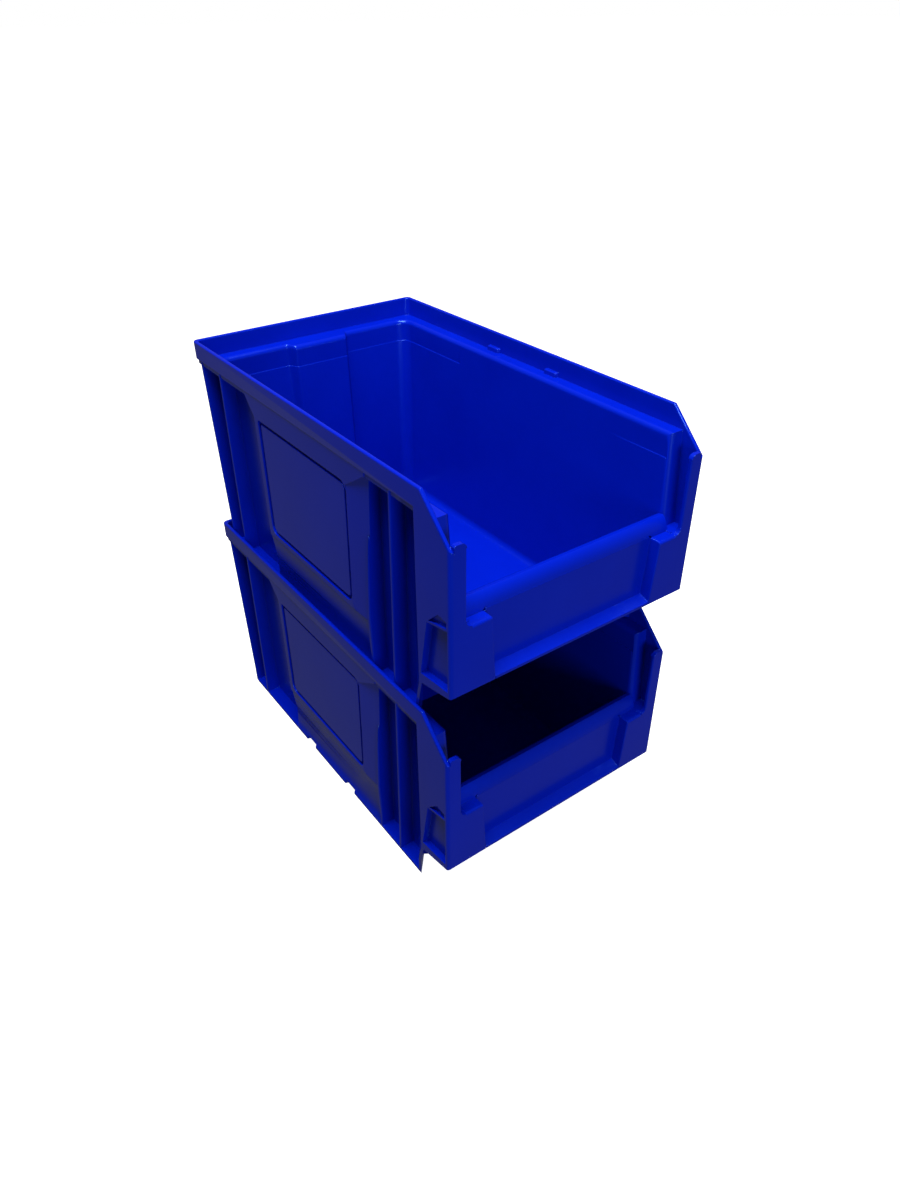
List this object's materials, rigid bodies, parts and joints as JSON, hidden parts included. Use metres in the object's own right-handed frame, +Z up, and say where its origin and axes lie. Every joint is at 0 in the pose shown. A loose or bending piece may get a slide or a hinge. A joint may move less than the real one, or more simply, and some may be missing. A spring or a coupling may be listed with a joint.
{
  "type": "stackable open-front storage bin pair",
  "caption": "Two identical open-front storage bins, stacked: the upper bin's base sits inside the lower bin's rim and lifts off.",
  "frame": {"origin": "centre of the stack's footprint, on the surface that the lower bin stands on", "axes": "+X to the right seen from the open front, -Y towards the open front, +Z up"},
  "size_m": [0.148, 0.2538, 0.2495],
  "materials": {
    "blue_polypropylene": "moulded, semi-gloss"
  },
  "bodies": {
    "lower": {"lower_bin": "blue_polypropylene"},
    "upper": {"upper_bin": "blue_polypropylene"}
  },
  "joints": [
    {"name": "lift_off", "type": "slide", "parent": "lower", "child": "upper", "axis": [0, 0, 1], "range_m": [0, 0.15]}
  ]
}
